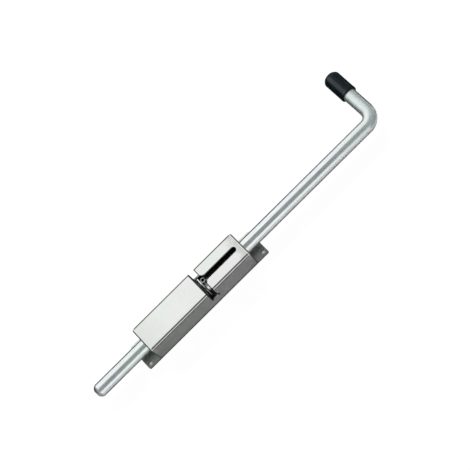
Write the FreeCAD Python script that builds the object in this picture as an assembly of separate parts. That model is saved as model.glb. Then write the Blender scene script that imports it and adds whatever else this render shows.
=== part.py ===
import FreeCAD, Part
import math
import os

# Spring bolt in a folded housing on a screw-down base plate.
# The origin is the centre of the base plate's back face. +X runs along the rod
# towards the handle, +Y is the side that the handle points to, +Z is away from
# the mounting surface. All sizes are in millimetres.

V = FreeCAD.Vector
overcut = 1.0                # cutting shapes reach this far past what they cut
tolerance = 0.01             # for telling edges apart by their place

# Rod and handle
rod_d = 16.0
rod_protrusion = 73.5        # from the housing's front end to the tip
tip_length = 5.0
tip_flat_d = 8.0
tip_bulge = 0.7              # how far the nose swells past a straight chamfer
handle_reach = 197.0         # from the housing's rear end to the handle's centre line
bend_radius = 14.0           # on the centre line
handle_length = 72.0         # from the rod's axis to the end of the bar
bar_end_chamfer = 1.0

# Black cap pushed over the handle
cap_wall = 1.3
cap_length = 34.0
cap_end_wall = 2.5
cap_crown_radius = 13.0      # of its domed end
cap_shoulder_radius = 4.5    # between the dome and the side
cap_shoulder_sides = 3       # narrow cones that follow that radius
cap_lip_chamfer = 0.5

# Base plate
plate_width = 34.0
plate_thickness = 3.0
tab_length = 16.0            # past each end of the housing
plate_corner_radius = 2.0
screw_hole_d = 4.4
screw_from_housing = 11.4
screw_from_edge = 4.4

# Housing: a folded cover closed by an end plate at each end
housing_length = 146.0
cover_height = 31.0          # above the base plate
sheet = 2.0
fold_radius = 2.6            # outside of the fold

# Cross gap, side hooks and top slot
gap_from_front = 84.0
pin_play = 1.0               # width of the gap, the hooks and the slot over the pin
hook_depth = 3.3             # past the gap, towards the handle
hook_drop = 0.2              # hook's middle below the rod's axis
hook_end_flat = 0.6          # straight left between the two roundings of its end
gap_foot_radius = 1.2
slot_end_margin = 6.8        # sheet left between the slot and the rear end
mouth_radius = 6.4           # rounding of the slot's two corners at the gap

# Cross pin, a slotted spring pin pressed through the rod
pin_d = 6.0
pin_wall = 1.2
pin_slit = 1.2
pin_sunk = 0.3               # lower end, inside the rod's underside
pin_below_top = 0.2          # upper end, below the cover's top face
pin_stop_gap = 0.3           # left between the pin and each end of its way

# End plates that guide the rod
end_plate = 2.5
end_plate_inset = 0.4        # of its outline from the cover's outside
end_plate_chamfer = 0.7      # of its outer edge
running_gap = 0.08           # rod in the two end plates, on the radius

# Spring between the front end plate and a washer that rests against the pin
wire_d = 1.4
spring_rod_gap = 2.8         # inside of the turns to the rod
spring_half_turns = 16
closed_half_turns = 2        # at each end
wire_sides = 6               # the hidden spring is wound from a flat-sided wire
closed_gap = 0.5             # left between the closed turns
seat_gap = 0.1               # wire to washer and to end plate
washer_rim = 1.3             # past the outside of the turns
washer_thickness = 1.5
washer_seat_gap = 0.05       # washer to pin
washer_bore_gap = 0.25       # rod in the washer, on the radius

# Places that follow from these sizes
rod_r = rod_d / 2
pin_r = pin_d / 2
wire_r = wire_d / 2
half_housing = housing_length / 2
half_cover = half_housing - end_plate
half_width = plate_width / 2
plate_length = housing_length + 2 * tab_length
cover_top = plate_thickness + cover_height
rod_z = plate_thickness + (cover_height - sheet) / 2
pin_opening = pin_d + pin_play
gap_front = gap_from_front - half_housing
gap_rear = gap_front + pin_opening
slot_end = half_housing - slot_end_margin
tip_x = -half_housing - rod_protrusion
handle_x = half_housing + handle_reach
pin_x = gap_rear + hook_depth - pin_opening / 2
pin_low = rod_z - rod_r + pin_sunk
pin_length = cover_top - pin_below_top - pin_low
washer_x = pin_x - pin_r - washer_seat_gap - washer_thickness
travel_back = slot_end - pin_r - pin_stop_gap - pin_x
travel_ahead = pin_x - pin_r - pin_stop_gap - gap_front
spring_mean_d = rod_d + 2 * spring_rod_gap + wire_d


# Cylinder about the rod's axis
def x_cylinder(radius, start, length):
    return Part.makeCylinder(radius, length, V(start, 0, rod_z), V(1, 0, 0))


# The same, reaching past both faces of the piece that it cuts
def x_hole(radius, start, length):
    return x_cylinder(radius, start - overcut, length + 2 * overcut)


def rounded(shape, radius, along):
    edges = [e for e in shape.Edges if along(e)]
    return shape.makeFillet(radius, edges)


def is_vertical(edge):
    ends = [vertex.Point for vertex in edge.Vertexes]
    across = math.hypot(ends[0].x - ends[-1].x, ends[0].y - ends[-1].y)
    return len(ends) == 2 and across < tolerance


# Flat plate with a tab past each end of the cover and two screw holes in each tab
def base_plate():
    corner = V(-plate_length / 2, -half_width, 0)
    plate = Part.makeBox(plate_length, plate_width, plate_thickness, corner)
    plate = rounded(plate, plate_corner_radius, is_vertical)
    hole_x = half_housing + screw_from_housing
    hole_y = half_width - screw_from_edge
    for x in (-hole_x, hole_x):
        for y in (-hole_y, hole_y):
            hole = Part.makeCylinder(screw_hole_d / 2, plate_thickness, V(x, y, 0))
            plate = plate.cut(hole)
    return plate


# Quarter round of a fold, about the centre of its inner and outer radius
def fold_arc(centre, radius, start_angle, x):
    points = []
    for step in (0, 45, 90):
        angle = math.radians(start_angle - step)
        points.append(V(x, centre[0] + radius * math.cos(angle), centre[1] + radius * math.sin(angle)))
    return Part.Arc(*points).toShape()


# Sheet folded twice into a channel that stands open side down on the plate
def channel():
    x = -half_cover
    inside = half_width - sheet
    inner_radius = fold_radius - sheet
    fold_y = half_width - fold_radius
    fold_z = cover_top - fold_radius

    def line(y0, z0, y1, z1):
        return Part.LineSegment(V(x, y0, z0), V(x, y1, z1)).toShape()

    under = cover_top - sheet
    edges = [
        line(-half_width, plate_thickness, -half_width, fold_z),
        fold_arc((-fold_y, fold_z), fold_radius, 180, x),
        line(-fold_y, cover_top, fold_y, cover_top),
        fold_arc((fold_y, fold_z), fold_radius, 90, x),
        line(half_width, fold_z, half_width, plate_thickness),
        line(half_width, plate_thickness, inside, plate_thickness),
        line(inside, plate_thickness, inside, fold_z),
        fold_arc((fold_y, fold_z), inner_radius, 90, x),
        line(fold_y, under, -fold_y, under),
        fold_arc((-fold_y, fold_z), inner_radius, 180, x),
        line(-inside, fold_z, -inside, plate_thickness),
        line(-inside, plate_thickness, -half_width, plate_thickness),
    ]
    face = Part.Face(Part.Wire(Part.__sortEdges__(edges)))
    return face.extrude(V(2 * half_cover, 0, 0))


# Cross gap through the top and both walls, whose foot turns into a hook
def gap_cut():
    y = -half_width - overcut
    top = cover_top + overcut
    middle = rod_z - hook_drop
    low = middle - pin_opening / 2
    high = middle + pin_opening / 2
    end = gap_rear + hook_depth
    r = (pin_opening - hook_end_flat) / 2
    foot = gap_foot_radius
    bend = math.sqrt(0.5)

    def line(x0, z0, x1, z1):
        return Part.LineSegment(V(x0, y, z0), V(x1, y, z1)).toShape()

    def arc(p0, p1, p2):
        return Part.Arc(V(p0[0], y, p0[1]), V(p1[0], y, p1[1]), V(p2[0], y, p2[1])).toShape()

    edges = [
        line(gap_rear, top, gap_front, top),
        line(gap_front, top, gap_front, low + foot),
        arc((gap_front, low + foot),
            (gap_front + foot * (1 - bend), low + foot * (1 - bend)),
            (gap_front + foot, low)),
        line(gap_front + foot, low, end - r, low),
        arc((end - r, low), (end - r + r * bend, low + r * (1 - bend)), (end, low + r)),
        line(end, low + r, end, high - r),
        arc((end, high - r), (end - r + r * bend, high - r * (1 - bend)), (end - r, high)),
        line(end - r, high, gap_rear, high),
        line(gap_rear, high, gap_rear, top),
    ]
    face = Part.Face(Part.Wire(Part.__sortEdges__(edges)))
    return face.extrude(V(0, plate_width + 2 * overcut, 0))


# Slot in the top from the gap towards the handle, with its mouth rounded open
def slot_cut():
    z = cover_top - sheet - overcut
    half = pin_opening / 2
    wide = half + mouth_radius
    start = gap_rear - overcut
    straight = gap_rear + mouth_radius
    bend = mouth_radius * (1 - math.sqrt(0.5))

    def line(x0, y0, x1, y1):
        return Part.LineSegment(V(x0, y0, z), V(x1, y1, z)).toShape()

    def arc(p0, p1, p2):
        return Part.Arc(V(p0[0], p0[1], z), V(p1[0], p1[1], z), V(p2[0], p2[1], z)).toShape()

    edges = [line(start, wide, start, -wide)]
    for side in (-1, 1):
        edges += [
            line(start, side * wide, gap_rear, side * wide),
            arc((gap_rear, side * wide), (gap_rear + bend, side * (half + bend)), (straight, side * half)),
            line(straight, side * half, slot_end - half, side * half),
        ]
    edges.append(arc((slot_end - half, -half), (slot_end, 0), (slot_end - half, half)))
    face = Part.Face(Part.Wire(Part.__sortEdges__(edges)))
    return face.extrude(V(0, 0, sheet + 2 * overcut))


def cover():
    return channel().cut(gap_cut()).cut(slot_cut())


# Plate over one end of the cover, its outer edge chamfered, bored for the rod
def end_cover(side):
    half = half_width - end_plate_inset
    height = cover_height - end_plate_inset
    inner_x = side * half_cover
    outer_x = side * half_housing
    corner = V(min(inner_x, outer_x), -half, plate_thickness)
    plate = Part.makeBox(end_plate, 2 * half, height, corner)
    shoulders = [
        e for e in plate.Edges
        if abs(e.Length - end_plate) < tolerance and e.CenterOfMass.z > rod_z
    ]
    plate = plate.makeFillet(fold_radius - end_plate_inset, shoulders)
    rim = [
        e for e in plate.Edges
        if abs(e.CenterOfMass.x - outer_x) < tolerance
        and e.CenterOfMass.z > plate_thickness + tolerance
    ]
    plate = plate.makeChamfer(end_plate_chamfer, rim)
    return plate.cut(x_hole(rod_r + running_gap, corner.x, end_plate))


def front_guide():
    return end_cover(-1)


def rear_guide():
    return end_cover(1)


# Straight bar with a rounded nose, turned about its axis
def straight_bar(end):
    nose_end = tip_x + tip_length
    flat_r = tip_flat_d / 2
    slope = math.atan2(rod_r - flat_r, tip_length)
    nose_mid = V(
        tip_x + tip_length / 2 - tip_bulge * math.sin(slope),
        (flat_r + rod_r) / 2 + tip_bulge * math.cos(slope),
        0,
    )
    edges = [
        Part.LineSegment(V(tip_x, 0, 0), V(tip_x, flat_r, 0)).toShape(),
        Part.Arc(V(tip_x, flat_r, 0), nose_mid, V(nose_end, rod_r, 0)).toShape(),
        Part.LineSegment(V(nose_end, rod_r, 0), V(end, rod_r, 0)).toShape(),
        Part.LineSegment(V(end, rod_r, 0), V(end, 0, 0)).toShape(),
        Part.LineSegment(V(end, 0, 0), V(tip_x, 0, 0)).toShape(),
    ]
    profile = Part.Face(Part.Wire(edges))
    bar = profile.revolve(V(0, 0, 0), V(1, 0, 0), 360)
    bar.translate(V(0, 0, rod_z))
    return bar


# Quarter bend that turns the bar into the handle
def bend():
    start = handle_x - bend_radius
    circle = Part.Face(Part.Wire(Part.makeCircle(rod_r, V(start, 0, rod_z), V(1, 0, 0))))
    return circle.revolve(V(start, bend_radius, rod_z), V(0, 0, 1), 90)


def handle_bar():
    length = handle_length - bend_radius
    bar = Part.makeCylinder(rod_r, length, V(handle_x, bend_radius, rod_z), V(0, 1, 0))
    far = [e for e in bar.Edges if e.CenterOfMass.y > handle_length - tolerance]
    return bar.makeChamfer(bar_end_chamfer, far)


# One steel bar from nose to handle, drilled for the pin
def bolt_rod():
    bar = straight_bar(handle_x - bend_radius).fuse([bend(), handle_bar()]).removeSplitter()
    return bar.cut(Part.makeCylinder(pin_r, 2 * rod_d, V(pin_x, 0, rod_z - rod_d)))


# Rolled pin with a slit along it, its upper end standing in the slot
def cross_pin():
    pin = Part.makeCylinder(pin_r, pin_length, V(pin_x, 0, pin_low))
    bore = Part.makeCylinder(pin_r - pin_wall, pin_length, V(pin_x, 0, pin_low))
    slit = Part.makeBox(pin_r + overcut, pin_slit, pin_length, V(pin_x, -pin_slit / 2, pin_low))
    rims = [e for e in pin.Edges if abs(e.Length - 2 * math.pi * pin_r) < tolerance]
    return pin.makeChamfer(pin_wall / 3, rims).cut(bore).cut(slit)


# Cap turned about the handle, open towards the bend and domed at its end
def grip_cap():
    outer_r = rod_r + cap_wall
    end = handle_length + cap_end_wall
    start = end - cap_length
    crown = cap_crown_radius
    shoulder = cap_shoulder_radius
    lip = cap_lip_chamfer
    chamfer = bar_end_chamfer

    def at(radius, y):
        return V(handle_x + radius, y, rod_z)

    shoulder_r = outer_r - shoulder
    lean = math.acos(shoulder_r / (crown - shoulder))
    shoulder_y = end - crown + (crown - shoulder) * math.sin(lean)
    turns = [lean * (1 - n / cap_shoulder_sides) for n in range(cap_shoulder_sides + 1)]
    sides = [at(shoulder_r + shoulder * math.cos(a), shoulder_y + shoulder * math.sin(a)) for a in turns]
    half_lean = (math.pi / 2 + lean) / 2
    crown_middle = at(crown * math.cos(half_lean), end - crown + crown * math.sin(half_lean))
    dome = Part.Arc(at(0, end), crown_middle, sides[0])
    sides += [
        at(outer_r, start + lip), at(outer_r - lip, start),
        at(rod_r, start), at(rod_r, handle_length - chamfer),
        at(rod_r - chamfer, handle_length), at(0, handle_length), at(0, end),
    ]
    lines = [Part.LineSegment(sides[n], sides[n + 1]) for n in range(len(sides) - 1)]
    profile = Part.Face(Part.Wire([edge.toShape() for edge in [dome] + lines]))
    return profile.revolve(V(handle_x, 0, rod_z), V(0, 1, 0), 360)


# Washer on the rod, ahead of the pin, that the spring pushes on
def spring_washer():
    outer_r = spring_mean_d / 2 + wire_r + washer_rim
    disc = x_cylinder(outer_r, washer_x, washer_thickness)
    return disc.cut(x_hole(rod_r + washer_bore_gap, washer_x, washer_thickness))


# The wire's centre after each half turn: closed at both ends, even between
def spring_stations():
    start = -half_cover + seat_gap + wire_r
    end = washer_x - seat_gap - wire_r
    closed_step = (wire_d + closed_gap) / 2
    closed = 2 * closed_half_turns
    open_step = (end - start - closed * closed_step) / (spring_half_turns - closed)
    stations = [start]
    for turn in range(spring_half_turns):
        at_end = min(turn, spring_half_turns - 1 - turn) < closed_half_turns
        stations.append(stations[-1] + (closed_step if at_end else open_step))
    return stations


# Point midway along the arc that leaves a, meets b and has its tangents cross at q
def arc_middle(a, q, b):
    chord = b.sub(a)
    middle = (a + b) * 0.5
    half = chord.Length / 2
    angle = math.acos(half / q.sub(a).Length)
    towards = q.sub(middle).normalize()
    return middle + towards * (half * math.tan(angle / 2))


# Two arcs that leave p along s and reach q along t
def biarc(p, s, q, t):
    chord = q.sub(p)
    a = 2 * (1 - s.dot(t))
    b = 2 * chord.dot(s + t)
    reach = (-b + math.sqrt(b * b + 4 * a * chord.dot(chord))) / (2 * a)
    first = p + s * reach
    second = q - t * reach
    joint = (first + second) * 0.5
    return [
        Part.Arc(p, arc_middle(p, first, joint), joint),
        Part.Arc(joint, arc_middle(joint, second, q), q),
    ]


# Flat-sided wire of about the same section as a round one
def wire_section(centre, tangent):
    out = V(0, 1, 0)
    up = tangent.cross(out).normalize()
    corner_r = wire_r / math.cos(math.pi / wire_sides / 2)
    corners = []
    for n in range(wire_sides + 1):
        angle = 2 * math.pi * (n + 0.5) / wire_sides
        corners.append(centre + out * (corner_r * math.cos(angle)) + up * (corner_r * math.sin(angle)))
    return Part.makePolygon(corners)


# Wire wound round the rod between the front end plate and the washer
def spring():
    stations = spring_stations()
    radius = spring_mean_d / 2
    last = len(stations) - 1
    steps = [stations[n + 1] - stations[n] for n in range(last)]
    points = []
    tangents = []
    for n, x in enumerate(stations):
        side = 1 if n % 2 == 0 else -1
        rise = (steps[max(n - 1, 0)] + steps[min(n, last - 1)]) / 2
        points.append(V(x, side * radius, rod_z))
        tangents.append(V(rise, 0, side * math.pi * radius).normalize())
    arcs = []
    for n in range(last):
        arcs += biarc(points[n], tangents[n], points[n + 1], tangents[n + 1])
    wire = Part.Wire([arc.toShape() for arc in arcs])
    section = wire_section(points[0], tangents[0])
    print("spring least gap between turns, mm:", round(least_gap(arcs), 3))
    return wire.makePipeShell([section], True, False)


# Least clear distance between stretches of the wire half a turn or more apart
def least_gap(arcs):
    per_arc = 8
    points = []
    for arc in arcs:
        for n in range(per_arc):
            t = arc.FirstParameter + (arc.LastParameter - arc.FirstParameter) * n / per_arc
            points.append(arc.value(t))
    half_turn = 2 * per_arc
    least = min(
        points[i].distanceToPoint(points[j])
        for i in range(len(points))
        for j in range(i + half_turn, min(i + 3 * half_turn, len(points)))
    )
    return least - wire_d


def main():
    os.makedirs("parts", exist_ok=True)
    makers = (
        base_plate, cover, front_guide, rear_guide,
        bolt_rod, cross_pin, grip_cap, spring, spring_washer,
    )
    for make in makers:
        solids = make().Solids
        solids[0].exportStep("parts/" + make.__name__ + ".step")
        print(make.__name__, "solids", len(solids), "valid", solids[0].isValid(),
              "volume", round(solids[0].Volume, 1))
    print("slide travel, mm: ahead", round(travel_ahead, 2), "back", round(travel_back, 2))


main()
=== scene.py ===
# %% [markdown]
# # Dressing a sliding bolt
# The part came from CAD as nine plain solids: a bent bar that slides in a folded
# housing, and what is inside. This file loads them as a fixed frame, then models the
# pieces that show once more, with rounder curves and softened edges, and gives every
# piece the finish of the real one. Nothing is moved: a new piece lies where its solid
# lies, and hides it. All lengths in Blender are metres, so sizes are written as a
# number of millimetres times mm.

# %% Load the frame
import math
import bmesh
import bpy
from mathutils import Matrix, Vector


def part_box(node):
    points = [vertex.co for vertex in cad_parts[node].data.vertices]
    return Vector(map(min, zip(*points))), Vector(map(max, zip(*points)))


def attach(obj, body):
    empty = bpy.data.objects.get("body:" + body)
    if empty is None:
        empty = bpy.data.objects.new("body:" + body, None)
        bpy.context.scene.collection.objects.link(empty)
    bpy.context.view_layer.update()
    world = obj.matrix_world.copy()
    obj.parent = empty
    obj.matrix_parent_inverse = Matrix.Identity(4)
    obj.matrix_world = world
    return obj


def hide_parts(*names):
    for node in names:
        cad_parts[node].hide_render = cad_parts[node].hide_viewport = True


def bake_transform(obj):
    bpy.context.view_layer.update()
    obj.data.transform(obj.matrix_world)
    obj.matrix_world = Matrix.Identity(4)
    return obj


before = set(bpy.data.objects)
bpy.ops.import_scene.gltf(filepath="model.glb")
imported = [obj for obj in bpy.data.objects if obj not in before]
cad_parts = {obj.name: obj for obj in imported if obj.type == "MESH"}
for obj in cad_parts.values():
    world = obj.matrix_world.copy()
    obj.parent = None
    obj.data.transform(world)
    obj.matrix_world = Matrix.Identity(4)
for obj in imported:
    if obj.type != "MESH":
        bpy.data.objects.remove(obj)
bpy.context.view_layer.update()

mm = 0.001

# %% [markdown]
# ## The camera
# The camera comes first, because every look at the work goes through it. The photograph
# is a long-lens shot from high above, turned until the bolt runs from corner to corner.
# The place, the direction and the turn below were found by fitting the housing's
# corners, the bar and the handle to the photograph, so they are typed in as they are.

# %% Make the camera
def make_camera():
    place = Vector((0.0492, -0.5913, 1.3796))
    ahead = Vector((0.0177, 0.4082, -0.9127)).normalized()
    right = Vector((0.7105, -0.6474, -0.2757))
    right = (right - ahead * right.dot(ahead)).normalized()
    up = right.cross(ahead)
    bpy.ops.object.select_all(action="DESELECT")
    bpy.ops.object.camera_add()
    camera = bpy.context.object
    camera.name = "camera"
    turn = Matrix((right, up, -ahead)).transposed().to_4x4()
    camera.matrix_world = Matrix.Translation(place) @ turn
    camera.data.sensor_width = 36
    camera.data.lens = 107.2
    bpy.context.scene.camera = camera
    return camera


camera = make_camera()
bpy.context.scene.view_settings.view_transform = "Standard"
print("camera lens", camera.data.lens, "mm")

# %% [markdown]
# ## A few hand movements
# Modelling by hand is a handful of movements made again and again: add a primitive,
# go into edit mode, pick some faces or edges, extrude, bevel, cut. Each gets a short
# function here. Faces and edges are picked by a test on where they lie or face, since
# there is no mouse to click with.

# %% Movements in object mode
def only(piece):
    """Leave edit mode, deselect everything and make this piece the active one."""
    if bpy.context.mode != "OBJECT":
        bpy.ops.object.mode_set(mode="OBJECT")
    bpy.ops.object.select_all(action="DESELECT")
    if piece:
        piece.select_set(True)
        bpy.context.view_layer.objects.active = piece
    return piece


def begin(primitive, name, **settings):
    """Add a primitive by its operator, with its place and turn put into its mesh."""
    only(None)
    getattr(bpy.ops.mesh, "primitive_" + primitive + "_add")(**settings)
    piece = bpy.context.object
    piece.name = name
    bpy.ops.object.transform_apply(location=True, rotation=True, scale=True)
    return piece


def block(name, low, high):
    """A cube primitive stretched between two corners."""
    low, high = Vector(low), Vector(high)
    return begin("cube", name, size=1, location=(low + high) / 2, scale=high - low)


def drum(name, radius, start, end, sides=64):
    """A cylinder primitive from one point to another."""
    start, end = Vector(start), Vector(end)
    run = end - start
    turn = run.to_track_quat("Z", "Y").to_euler()
    return begin("cylinder", name, vertices=sides, radius=radius, depth=run.length,
                 location=(start + end) / 2, rotation=turn)


# %% Movements in edit mode
def edit(piece):
    """Go into edit mode on this piece alone."""
    only(piece)
    bpy.ops.object.mode_set(mode="EDIT")


def pick(what, test):
    """Select just the FACE or EDGE items that pass the test."""
    bpy.ops.mesh.select_mode(type=what)
    bpy.ops.mesh.select_all(action="DESELECT")
    mesh = bmesh.from_edit_mesh(bpy.context.object.data)
    items = [item for item in (mesh.faces if what == "FACE" else mesh.edges) if test(item)]
    for item in items:
        item.select_set(True)
    bmesh.update_edit_mesh(bpy.context.object.data)


def middle(edge):
    """The point halfway along an edge."""
    return (edge.verts[0].co + edge.verts[1].co) / 2


def faces_along(direction):
    """A test for faces that look in this direction."""
    return lambda face: face.normal.dot(Vector(direction)) > 0.99


def runs_along(edge, axis):
    """Whether an edge runs along this axis: 0 is X, 1 is Y and 2 is Z."""
    run = (edge.verts[1].co - edge.verts[0].co).normalized()
    return abs(run[axis]) > 0.99


def extrude(x=0, y=0, z=0):
    """Extrude the selected faces this far."""
    bpy.ops.mesh.extrude_region_move(TRANSFORM_OT_translate={"value": (x, y, z)})


def bevel(width, segments):
    """Bevel the selected edges, round if there are several segments."""
    bpy.ops.mesh.bevel(offset=width, segments=segments, profile=0.5, affect="EDGES")


def grow(axis, line, place, radius, stations):
    """Extrude the selected round end face through (place on the axis, radius) stations."""
    for next_place, next_radius in stations:
        step = [0, 0, 0]
        step[axis] = next_place - place
        extrude(*step)
        if abs(next_radius - radius) > 1e-7:
            spot = Vector(line)
            spot[axis] = next_place
            size = Vector((1, 1, 1)) * (next_radius / radius)
            size[axis] = 1
            bpy.ops.transform.resize(value=size, center_override=spot)
        place, radius = next_place, next_radius


# %% Cutting, softening and measuring
def apply(piece, kind, **settings):
    """Add one modifier with these settings and apply it."""
    only(piece)
    modifier = piece.modifiers.new(kind.lower(), kind)
    for key, value in settings.items():
        setattr(modifier, key, value)
    bpy.ops.object.modifier_apply(modifier=modifier.name)


def cut(piece, cutter):
    """Take the cutter's shape out of the piece, then throw the cutter away."""
    apply(piece, "BOOLEAN", operation="DIFFERENCE", solver="EXACT", object=cutter)
    bpy.data.objects.remove(cutter)


def smooth(piece, angle=35):
    """Shade the curves smooth, keep the creases, and keep flats flat."""
    only(piece)
    bpy.ops.object.shade_smooth_by_angle(angle=math.radians(angle))
    apply(piece, "WEIGHTED_NORMAL", keep_sharp=True)


def soften(piece, width, segments=2, angle=35):
    """Break the sharp edges by a small bevel and shade the piece."""
    apply(piece, "BEVEL", width=width, segments=segments, limit_method="ANGLE",
          angle_limit=math.radians(angle))
    smooth(piece, angle)


def measure(piece):
    """Print a piece's size and triangles, and whether its mesh is closed and right way out."""
    mesh = bmesh.new()
    mesh.from_mesh(piece.data)
    open_edges = sum(not edge.is_manifold for edge in mesh.edges)
    volume = mesh.calc_volume(signed=True) / mm ** 3
    triangles = sum(len(face.verts) - 2 for face in mesh.faces)
    mesh.free()
    size = [round(v / mm, 1) for v in piece.dimensions]
    print(piece.name, "mm", size, "triangles", triangles, "open edges", open_edges,
          "volume mm3", round(volume))


# %% [markdown]
# ## The bar
# On the real bolt this is one round bar of 16 mm: turned to a blunt nose at one end and
# bent through a quarter turn into a handle at the other. A curve with a round bevel
# would give the same tube, but the nose would still have to be modelled. Here a short
# cylinder is grown from its end face: station by station to the nose, and the other way
# along the run, where the spin operator sweeps the end face round the bend. Ninety-six
# sides keep the outline round in a close view. Measured once more in the photograph, the
# handle is bent a hair nearer to the housing than its solid.

# %% Model the bar
bar_low, bar_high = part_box("bolt_rod")
bar_r = (bar_high.z - bar_low.z) / 2
bar_z = (bar_high.z + bar_low.z) / 2
handle_nearer = 0.7 * mm
handle_x = bar_high.x - bar_r - handle_nearer
bend_r = 14 * mm
nose_length, nose_flat_r, nose_swell = 5 * mm, 4 * mm, 0.7 * mm
first_length = 20 * mm
end_chamfer = 1 * mm
round_sides = 96


def along_bar(name, radius, start, end):
    """A finely divided drum on the bar's axis."""
    return drum(name, radius, (start, 0, bar_z), (end, 0, bar_z), sides=round_sides)


def nose_stations(tip, end_radius, count=8):
    """The bulged outline of the nose, from the bar's full radius to the flat at its tip."""
    slope = math.atan2(end_radius - nose_flat_r, nose_length)
    stations = []
    for n in range(count - 1, -1, -1):
        t = n / count
        swell = nose_swell * 4 * t * (1 - t)
        stations.append((tip + nose_length * t - swell * math.sin(slope),
                         nose_flat_r + (end_radius - nose_flat_r) * t + swell * math.cos(slope)))
    return stations


def make_bar():
    tip = bar_low.x
    line = (0, 0, bar_z)
    first, second = tip + nose_length, tip + nose_length + first_length
    bar = along_bar("bar", bar_r, first, second)
    edit(bar)
    pick("FACE", faces_along((-1, 0, 0)))
    grow(0, line, first, bar_r, nose_stations(tip, bar_r))
    pick("FACE", faces_along((1, 0, 0)))
    bend_start = handle_x - bend_r
    grow(0, line, second, bar_r, [(bend_start, bar_r)])
    bpy.ops.mesh.spin(steps=28, angle=-math.pi / 2, center=(bend_start, bend_r, bar_z),
                      axis=(0, 0, 1))
    grow(1, (handle_x, 0, bar_z), bend_r, bar_r,
         [(bar_high.y - end_chamfer, bar_r), (bar_high.y, bar_r - end_chamfer)])
    return bar


bar = make_bar()
soften(bar, 0.3 * mm)
measure(bar)

# %% [markdown]
# A hole is drilled across the bar for the pin, by the Boolean modifier. The sharp edges
# were broken first, because a bevel after the cut would run into the hole's own edge.

# %% Drill the bar
pin_low, pin_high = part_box("cross_pin")
pin_x = (pin_low.x + pin_high.x) / 2
pin_r = (pin_high.y - pin_low.y) / 2

past = 2 * bar_r
cut(bar, drum("drill", pin_r, (pin_x, 0, bar_z - past), (pin_x, 0, bar_z + past)))
smooth(bar)
measure(bar)

# %% [markdown]
# ## The cap
# The handle wears a push-on cap of soft black plastic. The CAD solid has a shoulder of
# three cones; the real cap is drawn from a mould, with a low dome, a round shoulder and
# a lip that stands out a little where it was stretched over the bar. It is also a little
# fatter and shorter than the solid. It grows from a short cylinder too. The far face
# grows into the dome, and the near face is pushed in to make the hollow that the bar
# fills.

# %% Model the cap
cap_low, cap_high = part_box("grip_cap")
cap_fatter, cap_shorter = 0.7 * mm, 0.9 * mm
cap_r = (cap_high.z - cap_low.z) / 2 + cap_fatter
lip_stands_out = 0.12 * mm


def dome_stations(end, radius, crown=13 * mm, shoulder=4.5 * mm):
    """The outline from the cap's side over the round shoulder to the middle of the dome, which
    has the radius crown."""
    shoulder_r = radius - shoulder
    lean = math.acos(shoulder_r / (crown - shoulder))
    shoulder_y = end - crown + (crown - shoulder) * math.sin(lean)
    stations = []
    for n in range(9):
        a = lean * n / 8
        stations.append((shoulder_y + shoulder * math.sin(a), shoulder_r + shoulder * math.cos(a)))
    for n in range(1, 7):
        a = lean + (math.radians(88.5) - lean) * n / 6
        stations.append((end - crown + crown * math.sin(a), crown * math.cos(a)))
    return stations


def make_cap():
    line = (handle_x, 0, bar_z)
    start, end = cap_low.y, cap_high.y - cap_shorter
    body_r = cap_r - lip_stands_out
    first, second = start + 6 * mm, start + 20 * mm
    cap = drum("cap", body_r, (handle_x, first, bar_z), (handle_x, second, bar_z),
               sides=round_sides)
    edit(cap)
    pick("FACE", faces_along((0, 1, 0)))
    grow(1, line, second, body_r, dome_stations(end, body_r))
    pick("FACE", faces_along((0, -1, 0)))
    # the lip, in mm from the cap's edge and in mm inside its largest radius
    outline = [(2.2, 0), (0.9, 0), (0.35, 0.12), (0.08, 0.4), (0, 0.7)]
    lip = [(start + 4 * mm, body_r)] + [(start + a * mm, cap_r - b * mm) for a, b in outline]
    hollow = [(start, bar_r + 0.15 * mm), (start + 0.25 * mm, bar_r),
              (bar_high.y - end_chamfer, bar_r), (bar_high.y, bar_r - end_chamfer)]
    grow(1, line, first, body_r, lip + hollow)
    only(cap)
    bpy.ops.object.shade_smooth_by_angle(angle=math.radians(40))
    return cap


cap = make_cap()
measure(cap)

# %% [markdown]
# ## The cover
# The housing's cover is one strip of 2 mm sheet, folded twice. In Blender it starts as
# a cube that loses its bottom and both ends. Bevelling the two long upper edges makes
# the folds, and Solidify turns the skin into sheet, always inwards, so the outside
# keeps its size. Folding first and cutting after is the reverse of the press shop, but
# it lets the gap run straight through both walls.

# %% Fold the cover
cover_low, cover_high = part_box("cover")
sheet = 2 * mm
fold_r = 3 * mm


def fold_cover():
    cover = block("cover_sheet", cover_low, cover_high)
    edit(cover)
    pick("FACE", lambda face: face.normal.z < -0.9 or abs(face.normal.x) > 0.9)
    bpy.ops.mesh.delete(type="FACE")
    pick("EDGE", lambda edge: runs_along(edge, 0) and middle(edge).z > cover_high.z - mm)
    bevel(fold_r, 12)
    apply(cover, "SOLIDIFY", thickness=sheet, offset=-1, use_even_offset=True)
    return cover


cover = fold_cover()
measure(cover)

# %% [markdown]
# Two cutters make the openings. The first is the cross gap: a slab through the top and
# both walls whose foot has a hook, rounded at its far end. The second is the slot in
# the top, a T whose inner corners are bevelled wide so that the sheet's two corners at
# the mouth come out round. Bevels on the cutters are much easier to steer than bevels
# on the thin sheet.

# %% Cut the gap, the hooks and the slot
pin_room = 1 * mm
hook_reach, hook_drop = 3.3 * mm, 0.2 * mm
hook_round, foot_round, mouth_round = 3.2 * mm, 1.2 * mm, 6.4 * mm
end_plate, slot_to_end = 2.5 * mm, 6.8 * mm
beyond_sheet = 2 * mm
close = 0.1 * mm

gap_width = pin_high.y - pin_low.y + pin_room
hook_rear = pin_x + gap_width / 2
gap_rear = hook_rear - hook_reach
gap_front = gap_rear - gap_width
hook_low = bar_z - hook_drop - gap_width / 2
hook_high = hook_low + gap_width
slot_end = cover_high.x + end_plate - slot_to_end


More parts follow.
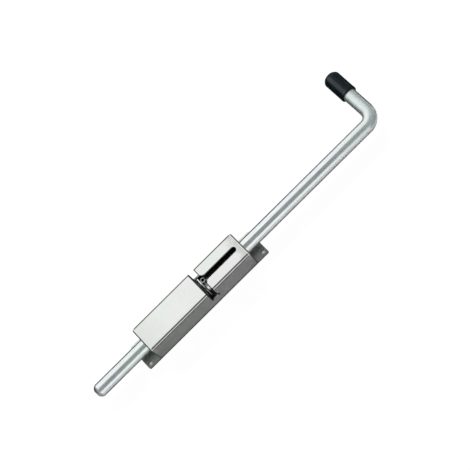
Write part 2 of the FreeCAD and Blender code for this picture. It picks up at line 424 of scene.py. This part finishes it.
def make_gap_cutter():
    wide = cover_high.y + beyond_sheet
    gap = block("gap_cutter", (gap_front, -wide, hook_low), (gap_rear, wide, hook_high))
    edit(gap)
    pick("FACE", faces_along((1, 0, 0)))
    extrude(x=hook_rear - gap_rear)
    pick("FACE", lambda face: face.normal.z > 0.9 and face.calc_center_median().x < gap_rear)
    extrude(z=cover_high.z + beyond_sheet - hook_high)
    pick("EDGE", lambda edge: runs_along(edge, 1) and middle(edge).x > hook_rear - close)
    bevel(hook_round, 9)
    foot = Vector((gap_front, 0, hook_low))
    pick("EDGE", lambda edge: runs_along(edge, 1) and (middle(edge) - foot).length < close)
    bevel(foot_round, 6)
    only(gap)
    return gap


def make_slot_cutter():
    half = gap_width / 2
    low, high = cover_high.z - sheet - beyond_sheet, cover_high.z + beyond_sheet
    slot = block("slot_cutter", (gap_rear, -half, low), (slot_end, half, high))
    edit(slot)
    pick("FACE", faces_along((-1, 0, 0)))
    extrude(x=-2 * mm)
    for side in (-1, 1):
        pick("FACE", lambda face: face.normal.y * side > 0.9
             and face.calc_center_median().x < gap_rear)
        extrude(y=side * (mouth_round + 0.6 * mm))
    pick("EDGE", lambda edge: runs_along(edge, 2) and abs(middle(edge).x - gap_rear) < close
         and abs(abs(middle(edge).y) - half) < close)
    bevel(mouth_round, 14)
    pick("EDGE", lambda edge: runs_along(edge, 2) and abs(middle(edge).x - slot_end) < close)
    bevel(half * 0.999, 12)     # just short of meeting, so that the end is round
    only(slot)
    return slot


cut(cover, make_slot_cutter())
cut(cover, make_gap_cutter())
soften(cover, 0.22 * mm)
measure(cover)

# %% [markdown]
# ## The base plate
# A flat strip of 3 mm plate that carries the cover and reaches past both ends of it as
# two tabs, each with two screw holes. The corners are rounded by a bevel on the upright
# edges and the holes are drilled with four Booleans. A press leaves the upper edge a
# little round, which catches the light.

# %% Model the base plate
plate_low, plate_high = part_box("base_plate")
plate_corner_r = 2 * mm
hole_x, hole_y, hole_r = 84.4 * mm, 12.6 * mm, 2.2 * mm
hole_sides = 48


def make_plate():
    plate = block("plate", plate_low, plate_high)
    edit(plate)
    pick("EDGE", lambda edge: runs_along(edge, 2))
    bevel(plate_corner_r, 8)
    only(plate)
    low, high = plate_low.z - mm, plate_high.z + mm
    for x in (-hole_x, hole_x):
        for y in (-hole_y, hole_y):
            cut(plate, drum("drill", hole_r, (x, y, low), (x, y, high), sides=hole_sides))
    soften(plate, 0.3 * mm)
    return plate


plate = make_plate()
measure(plate)

# %% [markdown]
# ## The end plates
# A plate closes each end of the cover and guides the bar in its bore. Both are the same
# blank, so one is modelled and the other is a copy, mirrored with a mesh of its own.
# Mirroring turns a mesh inside out, so the copy's normals are recalculated.

# %% Model the end plates
rear_low, rear_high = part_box("rear_guide")
upper_corner_r, outer_chamfer, slide_room = 2.2 * mm, 1.3 * mm, 0.08 * mm


def make_end_plate():
    guide = block("rear_end_plate", rear_low, rear_high)
    edit(guide)
    pick("EDGE", lambda edge: runs_along(edge, 0) and middle(edge).z > bar_z)
    bevel(upper_corner_r, 8)
    pick("EDGE", lambda edge: middle(edge).x > rear_high.x - close
         and middle(edge).z > rear_low.z + close and not runs_along(edge, 0))
    bevel(outer_chamfer, 1)
    only(guide)
    cut(guide, along_bar("reamer", bar_r + slide_room, rear_low.x - mm, rear_high.x + mm))
    soften(guide, 0.15 * mm)
    return guide


def mirrored(piece, name):
    """A copy of the piece, mirrored to the other end, with a mesh of its own."""
    only(piece)
    bpy.ops.object.duplicate(linked=False)
    twin = bpy.context.object
    twin.name = name
    edit(twin)
    bpy.ops.mesh.select_all(action="SELECT")
    bpy.ops.transform.resize(value=(-1, 1, 1), center_override=(0, 0, 0))
    bpy.ops.mesh.normals_make_consistent(inside=False)
    only(twin)
    return twin


rear_plate = make_end_plate()
front_plate = mirrored(rear_plate, "front_end_plate")
measure(rear_plate)
measure(front_plate)

# %% [markdown]
# ## The cross pin
# The pin is rolled from spring strip, so it is a tube with a slit along it. It is
# pressed through the bar and stands up into the mouth of the slot.

# %% Model the pin
pin_wall, pin_chamfer, half_slit = 1.2 * mm, 0.4 * mm, 0.6 * mm


def make_pin():
    low, high = pin_low.z, pin_high.z
    line = (pin_x, 0, 0)
    low_end, high_end = low + pin_chamfer, high - pin_chamfer
    pin = drum("pin", pin_r, (pin_x, 0, low_end), (pin_x, 0, high_end))
    edit(pin)
    pick("FACE", faces_along((0, 0, 1)))
    grow(2, line, high_end, pin_r, [(high, pin_r - pin_chamfer)])
    pick("FACE", faces_along((0, 0, -1)))
    grow(2, line, low_end, pin_r, [(low, pin_r - pin_chamfer)])
    only(pin)
    low, high = low - mm, high + mm
    cut(pin, drum("bore", pin_r - pin_wall, (pin_x, 0, low), (pin_x, 0, high), sides=hole_sides))
    cut(pin, block("slit", (pin_x, -half_slit, low), (pin_x + 2 * pin_r, half_slit, high)))
    soften(pin, 0.12 * mm)
    return pin


pin = make_pin()
measure(pin)

# %% [markdown]
# ## The washer and the spring
# A washer lies against the pin, and its bright rim shows in the gap. The spring pushes
# on it from the front end plate. The CAD solid is wound from a six-sided wire; here the
# wire is round. The spin operator has no pitch of its own, so the end face is
# spun a little and then shifted along the bar, again and again: close together for the
# first and last turn, and wide between them.

# %% Model the washer
washer_low, washer_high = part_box("spring_washer")
washer_r = (washer_high.z - washer_low.z) / 2
washer_room = 0.25 * mm


def make_washer():
    front, back = washer_low.x, washer_high.x
    washer = along_bar("washer", washer_r, front, back)
    cut(washer, along_bar("punch", bar_r + washer_room, front - mm, back + mm))
    soften(washer, 0.3 * mm, segments=3)
    return washer


washer = make_washer()
measure(washer)

# %% Wind the spring
coil_low, coil_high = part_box("spring")
wire_r = 0.7 * mm
coil_r = (coil_high.y - coil_low.y) / 2 - wire_r
wire_to_end = 1.05 * wire_r
between_closed = 0.5 * mm
disc = 0.3 * mm


def wind_spring(half_turns=16, closed=2, steps=14):
    """Wind the spring from a thin disc, the first and last half turns closed."""
    start, end = coil_low.x + wire_to_end, coil_high.x - wire_to_end
    close_step = (2 * wire_r + between_closed) / 2
    open_step = (end - start - 2 * closed * close_step) / (half_turns - 2 * closed)
    coil = drum("coil", wire_r, (start, coil_r, bar_z - disc), (start, coil_r, bar_z), sides=14)
    edit(coil)
    pick("FACE", faces_along((0, 0, 1)))
    for half in range(half_turns):
        at_end = min(half, half_turns - 1 - half) < closed
        rise = (close_step if at_end else open_step) / steps
        for step in range(steps):
            bpy.ops.mesh.spin(steps=1, angle=-math.pi / steps, center=(0, 0, bar_z),
                              axis=(1, 0, 0))
            bpy.ops.transform.translate(value=(rise, 0, 0))
    only(coil)
    bpy.ops.object.shade_smooth_by_angle(angle=math.radians(40))
    return coil


coil = wind_spring()
measure(coil)

# %% [markdown]
# ## Values that can be added up
# A finish is a small sum of patterns. Written node by node it is long and hard to read,
# so a wire between nodes is wrapped in a class with the usual signs: a * 0.5 + b adds
# two Math nodes. Any other node comes from one method, node, which takes its type, its
# settings and what goes into its sockets.

# %% Wires and graphs
class Wire:
    """The output of a node. Sums with it add Math nodes."""

    def __init__(self, graph, socket):
        self.graph = graph
        self.socket = socket

    def maths(self, operation, first, second):
        return self.graph.node("ShaderNodeMath", {"operation": operation}, {0: first, 1: second})

    def __add__(self, other):
        return self.maths("ADD", self, other)

    def __radd__(self, other):
        return self.maths("ADD", other, self)

    def __sub__(self, other):
        return self.maths("SUBTRACT", self, other)

    def __rsub__(self, other):
        return self.maths("SUBTRACT", other, self)

    def __mul__(self, other):
        return self.maths("MULTIPLY", self, other)

    def __rmul__(self, other):
        return self.maths("MULTIPLY", other, self)

    def __abs__(self):
        return self.maths("ABSOLUTE", self, 0)

    def output(self, name):
        """Another output of the same node."""
        return Wire(self.graph, self.socket.node.outputs[name])


class Graph:
    """A node tree that nodes are added to."""

    def __init__(self, tree):
        self.tree = tree
        self.tree.nodes.clear()

    def node(self, kind, settings=None, sockets=None, output=0):
        made = self.tree.nodes.new(kind)
        for key, value in (settings or {}).items():
            setattr(made, key, value)
        for key, value in (sockets or {}).items():
            if isinstance(value, Wire):
                self.tree.links.new(value.socket, made.inputs[key])
            else:
                made.inputs[key].default_value = value
        return Wire(self, made.outputs[output]) if made.outputs else made

    def mix(self, factor, first, second):
        """A colour between two others."""
        return self.node("ShaderNodeMix", {"data_type": "RGBA"},
                         {0: factor, 6: first, 7: second}, 2)

    def axes(self, place):
        """The X, Y and Z of a place, as three wires."""
        x = self.node("ShaderNodeSeparateXYZ", {}, {0: place})
        return x, x.output("Y"), x.output("Z")

    def step(self, value, low, high):
        """0 below low, 1 above high, and a soft step between."""
        return self.node("ShaderNodeMapRange", {"interpolation_type": "SMOOTHSTEP"},
                         {"Value": value, "From Min": low, "From Max": high})

    def band(self, value, low, full, fade, high):
        """1 from full to fade, 0 below low and above high, and soft steps between."""
        return self.step(value, low, full) * (1 - self.step(value, fade, high))


# %% [markdown]
# ## Patterns in millimetres
# All patterns read Object coordinates. The pieces' objects sit at the origin, so these
# are places on the real bolt. One function makes cloudy noise with spots of a given
# size in millimetres. Stretching it along one axis gives the fine lines of a rolled,
# drawn or brushed surface, and keeping only its peaks gives scratches.

# %% Noise, lines and scratches
def colour(r, g, b):
    return (r, g, b, 1)


def toned(tone, *shares):
    """A tone times one share, or times a share for each of its parts, as a colour."""
    shares = shares if len(shares) == 3 else shares * 3
    return colour(*[min(1, part * share) for part, share in zip(tone, shares)])


def clouds(graph, place, size, stretch=(1, 1, 1), turn=(0, 0, 0), detail=3):
    """Noise with spots of this many millimetres, drawn out by stretch along each axis."""
    scale = [1 / (size * s * mm) for s in stretch]
    put = graph.node("ShaderNodeMapping", {}, {"Vector": place, "Scale": scale,
                     "Rotation": [math.radians(t) for t in turn]})
    return graph.node("ShaderNodeTexNoise", {}, {"Vector": put, "Scale": 1, "Detail": detail})


def scratches(graph, place, size, length, turn, share=0.7):
    """Thin lines, some of the peaks of a noise drawn out along X and then turned."""
    lines = clouds(graph, place, size, (length, 1, 1), turn, detail=1)
    return graph.step(lines, share, share + 0.06)


def new_finish(name):
    """An empty material: its graph, its shader node and its Object coordinates."""
    material = bpy.data.materials.new(name)
    material.use_nodes = True
    graph = Graph(material.node_tree)
    shader = graph.tree.nodes.new("ShaderNodeBsdfPrincipled")
    end = graph.tree.nodes.new("ShaderNodeOutputMaterial")
    graph.tree.links.new(shader.outputs[0], end.inputs[0])
    place = graph.node("ShaderNodeTexCoord", output="Object")
    return material, graph, shader, place


def feed(graph, shader, name, value):
    """Put a wire or a plain value into one of the shader's sockets."""
    if isinstance(value, Wire):
        graph.tree.links.new(value.socket, shader.inputs[name])
    else:
        shader.inputs[name].default_value = value


def relief(graph, height, depth):
    """A normal from a height of 0 to 1 that stands for this many millimetres."""
    return graph.node("ShaderNodeBump", {}, {"Strength": 1, "Distance": depth * mm,
                                             "Height": height})


# %% [markdown]
# ## Zinc plate
# Nearly all of the bolt is zinc-plated steel: a grey, satin metal with soft clouds where
# the bath dried, a faint green or pink cast, lines from rolling or drawing, and a few
# scratches. The rolled sheet, the drawn bar and the plate are the same finish with other
# numbers, so one function makes them all. Zinc that is rubbed is smoother and brighter,
# zinc that is gripped goes matt, and the heat of a weld tints it. A darkening mask paints
# shade onto it where the bolt lies in shadow, and darkens the bar's nose and the end
# plates' chamfers.

# %% A zinc finish
def zinc(name, tone, roughness, lines, line_share=0.5, cloud_size=14, depth=0.008,
         rubbed=None, stained=None, shade_and_dark_marks=None, matt=None, darkest=0.12):
    """A zinc finish. lines is the stretch of the grain. Four are functions that give a mask:
    where it is rubbed bright, stained by heat, darkened by painted shade and a few darker
    marks, and matt. Where it is darkest, this share of its tone is left."""
    material, graph, shader, place = new_finish(name)
    cloud = clouds(graph, place, cloud_size)
    cast = clouds(graph, place, 60, detail=1)
    grain = clouds(graph, place, 0.35, lines, detail=2)
    marks = (scratches(graph, place, 0.5, 18, (0, 0, 24))
             + scratches(graph, place, 0.4, 14, (0, 0, -37)))
    worn = rubbed(graph, place) if rubbed else 0
    dark, light = toned(tone, 0.93), toned(tone, 1.04)
    green, pink = toned(tone, 0.95, 1, 0.95), toned(tone, 1, 0.965, 0.985)
    shade = graph.mix(graph.step(cloud, 0.35, 0.65), dark, light)
    tint = graph.mix(graph.step(cast, 0.42, 0.58), green, pink)
    base = graph.mix(0.55, shade, tint)
    base = graph.mix(worn * 0.6, base, toned(tone, 1.12))
    base = graph.mix(marks * 0.12, base, toned(tone, 0.8))
    if stained:
        base = graph.mix(stained(graph, place), base, toned(tone, 0.68, 0.66, 0.63))
    # the darkening mask: painted shade where the bolt lies in shadow, and a few darker marks
    if shade_and_dark_marks:
        base = graph.mix(shade_and_dark_marks(graph, place), base, toned(tone, darkest))
    rough = (roughness + (cloud - 0.5) * 0.12 + (grain - 0.5) * 0.1 * line_share
             + marks * 0.05 - worn * 0.12)
    if matt:
        rough = rough + matt(graph, place) * 0.12
    height = grain * line_share + cloud * 0.3 - marks * 0.2
    feed(graph, shader, "Base Color", base)
    feed(graph, shader, "Metallic", 1.0)
    feed(graph, shader, "Roughness", rough)
    feed(graph, shader, "Normal", relief(graph, height, depth))
    return material


# %% [markdown]
# ## Traces of use, and painted shade
# Each trace is a mask, a pattern that runs from 0 to 1 over the places where it is
# found. The masks read places on the bolt, so they stay put from every side and in every
# pose. A painted image would do as well, but a mask in millimetres is easier to move.
# Hands dull the handle, the rear end plate rubs the bar bright where it slides, and painted
# shade darkens the bar on both sides of the pin and the washer's sides, where the cover shades
# them.

# %% Traces and painted shade on the bar and the washer
def handled(graph, place):
    """The end of the bar that is gripped: duller towards the bend and along the handle."""
    x, _, _ = graph.axes(place)
    return graph.step(x, 190 * mm, 262 * mm)


def rubbed_run(graph, place):
    """The stretch of bar that slides through the rear end plate."""
    x, _, _ = graph.axes(place)
    streaks = graph.step(clouds(graph, place, 2, (12, 1, 1)), 0.4, 0.6)
    return graph.band(x, 60 * mm, 75 * mm, 118 * mm, 135 * mm) * streaks


def shade_by_pin_and_dark_nose(graph, place):
    """Painted shade on the bar where the cover shades it on both sides of the pin: deep ahead of
    the pin, and behind it mostly on the near side. The turned nose is darker too.
    """
    x, y, _ = graph.axes(place)
    nose_end = bar_low.x + nose_length
    nose = (1 - graph.step(x, nose_end - 0.9 * mm, nose_end + 0.1 * mm)) * 0.57
    under_pin = (15.2 * mm, 15.7 * mm)
    ahead = graph.band(x, -12 * mm, 4 * mm, *under_pin) * 0.97
    behind = graph.band(x, *under_pin, 24 * mm, 29 * mm)
    # painted shade ahead of and behind the pin, and a darker nose
    return nose + ahead + behind * (0.55 - 0.46 * graph.step(y, -10 * mm, -6 * mm))


def shaded_washer_sides(graph, place):
    """Painted shade on the washer's sides; only the top of its rim is left bright."""
    _, y, _ = graph.axes(place)
    return graph.step(abs(y - 0.8 * mm), 5.6 * mm, 7.8 * mm) * 0.88


print("pin at", round(pin_x / mm, 1), "mm, nose from", round(bar_low.x / mm, 1), "to",
      round((bar_low.x + nose_length) / mm, 1), "mm")

# %% [markdown]
# Painted shade darkens the housing where it lies in shadow: the inside of the cover, the
# sheet round the gap and the hook's foot. The dark and light lines along the folds are a
# painted reflection, placed by the angle at which the round surface leans over, which the
# arc tangent finds. The heat of the welds tints both ends, and hands and tools rub the folds
# bright.

# %% Traces and painted shade on the housing
def rubbed_folds(graph, place):
    """The two long folds of the cover, where hands and tools rub."""
    _, y, z = graph.axes(place)
    out = graph.step(abs(y), 14.2 * mm, 16.4 * mm) * graph.step(z, 31 * mm, 33.4 * mm)
    return out * graph.step(clouds(graph, place, 5), 0.35, 0.6)


def welded_ends(graph, place):
    """The cover next to both end plates, tinted by the heat of the welds, most at the rear."""
    x, _, _ = graph.axes(place)
    patches = graph.step(clouds(graph, place, 8), 0.38, 0.62)
    front = (1 - graph.step(x, -72 * mm, -34 * mm)) * 0.25
    return graph.step(x, 54 * mm, 71 * mm) * patches * 0.75 + front


def painted_fold_lines(graph, y, z):
    """The dark lines along both folds, a painted reflection of the round fold, by how far the
    surface leans over, in degrees.
    """
    out, up = abs(y) - (cover_high.y - fold_r), z - (cover_high.z - fold_r)
    lean = out.maths("ARCTAN2", out, up) * (180 / math.pi)
    near = (graph.step(lean, 4, 10) * 0.9 - graph.step(lean, 25, 33) * 0.45
            + graph.step(lean, 54, 62) * 0.4 - graph.step(lean, 84, 90) * 0.85)
    far = (graph.step(lean, 8, 14) - graph.step(lean, 84, 90)) * 0.9
    beyond = graph.step(y, -1 * mm, 1 * mm)
    return (near * (1 - beyond) + far * beyond) * 0.91


def cover_shade_and_fold_lines(graph, place):
    """Painted shade on the cover's inner faces, on the sheet round the gap and at the hook's foot,
    and the painted lines along its folds.
    """
    x, y, z = graph.axes(place)
    wall, ceiling = cover_high.y - sheet, cover_high.z - sheet
    inside = ((1 - graph.step(abs(y), wall + 0.1 * mm, wall + 0.4 * mm))
              * (1 - graph.step(z, ceiling + 0.1 * mm, ceiling + 0.4 * mm)))
    above_foot = graph.step(z, hook_low + 0.5 * mm, hook_low + 1 * mm)
    edges = graph.band(x, gap_front - 1.7 * mm, gap_front - 1.3 * mm,
                       gap_rear + 0.8 * mm, gap_rear + 1.2 * mm) * above_foot
    foot = (graph.step(z, hook_low - 0.3 * mm, hook_low - 0.1 * mm) * (1 - above_foot)
            * graph.band(x, gap_front - 0.1 * mm, gap_front + 0.1 * mm,
                         hook_rear, hook_rear + 0.2 * mm)) * 0.62
    # painted shade inside the cover, round the gap and at the hook's foot
    painted_shade = x.maths("MAXIMUM", inside, edges + foot)
    return x.maths("MAXIMUM", painted_shade, painted_fold_lines(graph, y, z))


def shaded_plate(graph, place):
    """Painted shade over the base plate, standing for the bar and its shadow mirrored in it, but
    not along its far edge.
    """
    _, y, _ = graph.axes(place)
    return 0.79 - 0.79 * graph.step(y, 14 * mm, 15 * mm)


def dark_chamfer(graph, place):
    """A darker band on the chamfer round an end plate's outer face."""
    x, _, _ = graph.axes(place)
    return graph.band(abs(x), 71.5 * mm, 71.8 * mm, 72.9 * mm, 72.97 * mm) * 0.88


print("gap from", round(gap_front / mm, 1), "to", round(gap_rear / mm, 1), "mm, hook to",
      round(hook_rear / mm, 1), "mm")

# %% [markdown]
# Now each piece gets a zinc of its own: lines along the sheet and the bar, across the
# washer and upright on the end plates, large clouds on the cover and small ones on the
# pin. The pin is a darker steel.

# %% The zinc finishes
# The darkening masks paint shade on the cover, the bar, the washer and the base plate, and darken
# the end plates' chamfers.
sheet_zinc = zinc("sheet_zinc", (0.93, 0.935, 0.925), 0.3, (60, 1, 1), 0.6, 24,
                  rubbed=rubbed_folds, stained=welded_ends, shade_and_dark_marks=cover_shade_and_fold_lines, darkest=0.035)
bar_zinc = zinc("bar_zinc", (0.87, 0.915, 0.915), 0.25, (60, 1, 1), 0.5, 8, 0.004,
                rubbed=rubbed_run, shade_and_dark_marks=shade_by_pin_and_dark_nose, matt=handled, darkest=0.04)
plate_zinc = zinc("plate_zinc", (0.85, 0.88, 0.85), 0.36, (60, 1, 1), 0.5, 10, shade_and_dark_marks=shaded_plate)
edge_zinc = zinc("edge_zinc", (0.88, 0.885, 0.875), 0.32, (1, 1, 8), 0.6, 8, shade_and_dark_marks=dark_chamfer)
washer_zinc = zinc("washer_zinc", (0.92, 0.93, 0.925), 0.26, (1, 12, 1), 0.5, 7,
                   shade_and_dark_marks=shaded_washer_sides)
pin_steel = zinc("pin_steel", (0.36, 0.37, 0.37), 0.34, (1, 1, 20), 0.6, 4)
finishes = (sheet_zinc, bar_zinc, plate_zinc, edge_zinc, washer_zinc, pin_steel)
print("zinc finishes:", [finish.name for finish in finishes])

# %% [markdown]
# ## Plastic and spring wire
# The cap is moulded soft plastic: nearly black, satin, with a fine grain and a few pale
# rubs. Its upper side has been polished by hands, so a clear coat is laid on there, and
# fades out down the sides. The spring is drawn wire, darker than the zinc.

# %% The other finishes
def make_plastic():
    material, graph, shader, place = new_finish("cap_plastic")
    grain = clouds(graph, place, 0.35, detail=4)
    cloud = clouds(graph, place, 7)
    rubs = scratches(graph, place, 0.6, 9, (0, 0, 80), 0.66)
    dark, light = colour(0.001, 0.004, 0.006), colour(0.0025, 0.0075, 0.0105)
    rubbed = colour(0.06, 0.06, 0.065)
    base = graph.mix(graph.step(cloud, 0.35, 0.7), dark, light)
    feed(graph, shader, "Base Color", graph.mix(rubs * 0.35, base, rubbed))
    feed(graph, shader, "Roughness", 0.34 + (cloud - 0.5) * 0.12 + rubs * 0.08)
    feed(graph, shader, "Normal", relief(graph, grain * 0.7 + cloud * 0.5, 0.03))
    shader.inputs["Specular IOR Level"].default_value = 0.08
    shader.inputs["Specular Tint"].default_value = colour(0.8, 0.92, 1)
    shader.inputs["Coat Roughness"].default_value = 0.2
    shader.inputs["Coat IOR"].default_value = 1.65
    x, y, z = graph.axes(place)
    tilt = math.radians(21)
    up = (z - bar_z) * math.cos(tilt) - (x - handle_x) * math.sin(tilt)
    towards_end = graph.step(y, 50 * mm, 71 * mm)
    ridge = graph.step(up, 0.925 * cap_r, cap_r) * (0.77 + towards_end * 0.21)
    outside = graph.step(up, 0, 0.5 * cap_r) * graph.step(x - handle_x, -0.3 * cap_r, 0) * 0.2
    feed(graph, shader, "Coat Weight", (ridge + outside) * (1.05 - cloud * 0.2))
    return material


def make_wire_steel():
    tone = (0.26, 0.27, 0.275)
    material, graph, shader, place = new_finish("wire_steel")
    cloud = clouds(graph, place, 3)
    grain = clouds(graph, place, 0.3, (1, 6, 6), detail=2)
    base = graph.mix(graph.step(cloud, 0.3, 0.7), toned(tone, 0.8), toned(tone, 1))
    feed(graph, shader, "Base Color", base)
    feed(graph, shader, "Metallic", 1.0)
    feed(graph, shader, "Roughness", 0.3 + (cloud - 0.5) * 0.15)
    feed(graph, shader, "Normal", relief(graph, grain, 0.008))
    return material


cap_plastic = make_plastic()
wire_steel = make_wire_steel()
print("plastic and wire:", cap_plastic.name, wire_steel.name)

# %% [markdown]
# ## Putting the pieces in place
# Each new piece rides on the body that its solid belongs to, takes the finish, and
# stands for the solid, which is then hidden. The spring rides on neither body: its first
# turn lies at the end plate and its last turn at the washer, and here it stays as it is wound.

# %% Dress the bolt
def dress(piece, body, finish, node):
    """Give the piece its finish, let it ride on a body and stand for a node, which is hidden."""
    piece.data.materials.clear()
    piece.data.materials.append(finish)
    if body:
        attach(piece, body)
    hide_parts(node)


dress(bar, "bolt", bar_zinc, "bolt_rod")
dress(cap, "bolt", cap_plastic, "grip_cap")
dress(pin, "bolt", pin_steel, "cross_pin")
dress(washer, "bolt", washer_zinc, "spring_washer")
dress(cover, "housing", sheet_zinc, "cover")
dress(plate, "housing", plate_zinc, "base_plate")
dress(rear_plate, "housing", edge_zinc, "rear_guide")
dress(front_plate, "housing", edge_zinc, "front_guide")
dress(coil, None, wire_steel, "spring")
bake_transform(coil)

# %% [markdown]
# ## The studio
# The photograph has a pure white ground. The floor here is plain and pale. To the camera
# it mixes in white light of its own, which lifts it to white and leaves a faint shadow;
# only under the plate, where it shows through the screw holes, does it stay in the shade.

# %% The floor
def light_paths(graph):
    """1 for the rays that the camera, a glossy surface or a clear one sends."""
    rays = graph.node("ShaderNodeLightPath", output="Is Camera Ray")
    return rays, rays.output("Is Glossy Ray"), rays.output("Is Transmission Ray")


def make_floor():
    floor = begin("plane", "floor", size=14)
    material, graph, shader, place = new_finish("pale_floor")
    seen, glossy, through = light_paths(graph)
    shader.inputs["Base Color"].default_value = colour(0.5, 0.5, 0.5)
    shader.inputs["Roughness"].default_value = 0.9
    glow = graph.node("ShaderNodeEmission", {}, {"Color": colour(1, 1, 1), "Strength": 1.08})
    x, y, _ = graph.axes(place)
    under = ((1 - graph.step(abs(x), plate_high.x - mm, plate_high.x))
             * (1 - graph.step(abs(y), plate_high.y - mm, plate_high.y)))
    share = seen * (0.9 - under * 0.6) + (glossy + through) * 0.03
    both = graph.node("ShaderNodeMixShader", {}, {0: share, 1: Wire(graph, shader.outputs[0]),
                                                  2: glow})
    end = [n for n in graph.tree.nodes if n.type == "OUTPUT_MATERIAL"][0]
    graph.tree.links.new(both.socket, end.inputs[0])
    floor.data.materials.append(material)
    print("floor:", floor.name, material.name)


make_floor()

# %% [markdown]
# Metal shows what stands round it, so the grey bands along the bar come from cards that
# only reflections see: a grey ceiling over the camera, a wall on each side that is darker
# low down, a lower one near the camera on the right, a dark strip on the far floor and a
# grey patch on the floor to the right, which the handle's round side mirrors.

# %% The cards that metal mirrors
def make_card(name, place, size, low_tone, high_tone, flat=False):
    """A card that only shows in reflections, its tone changing from its low to its high edge.
    It stands square to the line from the bolt, or lies flat."""
    card = begin("plane", name, size=1)
    card.scale = (size[0], size[1], 1)
    if not flat:
        card.rotation_euler = Vector(place).to_track_quat("Z", "Y").to_euler()
    card.location = place
    bpy.ops.object.transform_apply(location=True, rotation=True, scale=True)
    material, graph, shader, spot = new_finish(name)
    _, _, z = graph.axes(spot)
    levels = [vertex.co.z for vertex in card.data.vertices]
    rise = graph.step(z, min(levels), max(levels) + mm)
    shader.inputs["Base Color"].default_value = colour(0, 0, 0)
    shader.inputs["Specular IOR Level"].default_value = 0
    shader.inputs["Emission Strength"].default_value = 1
    low, high = [colour(tone * 0.93, tone, tone * 1.01) for tone in (low_tone, high_tone)]
    feed(graph, shader, "Emission Color", graph.mix(rise, low, high))
    card.data.materials.append(material)
    card.visible_camera = False
    card.visible_diffuse = False
    card.visible_shadow = False
    print("card:", card.name)


make_card("grey_ceiling", (0.1, -0.63, 1.93), (3.2, 2.45), 0.288, 0.288)
make_card("left_wall", (-2.2, 0.5, 0.95), (3.2, 2.0), 0.27, 0.9)
make_card("right_wall", (1.9, 0.1, 1.4), (4.0, 2.4), 0.19, 0.75)
make_card("near_right_wall", (1.5, -1.2, 0.7), (2.2, 1.6), 0.25, 0.35)
make_card("far_ground", (0.05, 0.62, 0.0002), (3.0, 1.2), 0.1, 0.1, flat=True)
make_card("right_ground", (0.95, -0.59, 0.0002), (1.3, 1.2), 0.25, 0.25, flat=True)

# %% [markdown]
# Everything else that the metal sees is the world, which is white to reflections and
# only a weak light on the plastic. A large soft lamp stands on the far side and a weak
# one on the near side. They light the plastic and cast the shadow, and no reflection
# shows them.

# %% The world and the lamps
def make_world():
    world = bpy.context.scene.world or bpy.data.worlds.new("studio")
    bpy.context.scene.world = world
    world.use_nodes = True
    graph = Graph(world.node_tree)
    seen, glossy, through = light_paths(graph)
    white = seen + glossy + through
    level = white + (1 - white) * 0.22
    back = graph.node("ShaderNodeBackground", {}, {"Color": colour(1, 1, 1), "Strength": level})
    end = graph.tree.nodes.new("ShaderNodeOutputWorld")
    graph.tree.links.new(back.socket, end.inputs[0])


def make_softbox(name, place, size, power):
    only(None)
    bpy.ops.object.light_add(type="AREA", location=place)
    lamp = bpy.context.object
    lamp.name = name
    lamp.rotation_euler = Vector(place).to_track_quat("Z", "Y").to_euler()
    lamp.data.shape = "RECTANGLE"
    lamp.data.size, lamp.data.size_y = size
    lamp.data.energy = power
    lamp.visible_glossy = False
    print("lamp:", lamp.name, power, "W")


make_world()
make_softbox("far_softbox", (0.2, 1.5, 1.4), (1.6, 0.5), 67)
make_softbox("near_softbox", (-0.1, -1.9, 1.4), (2.0, 0.8), 2)
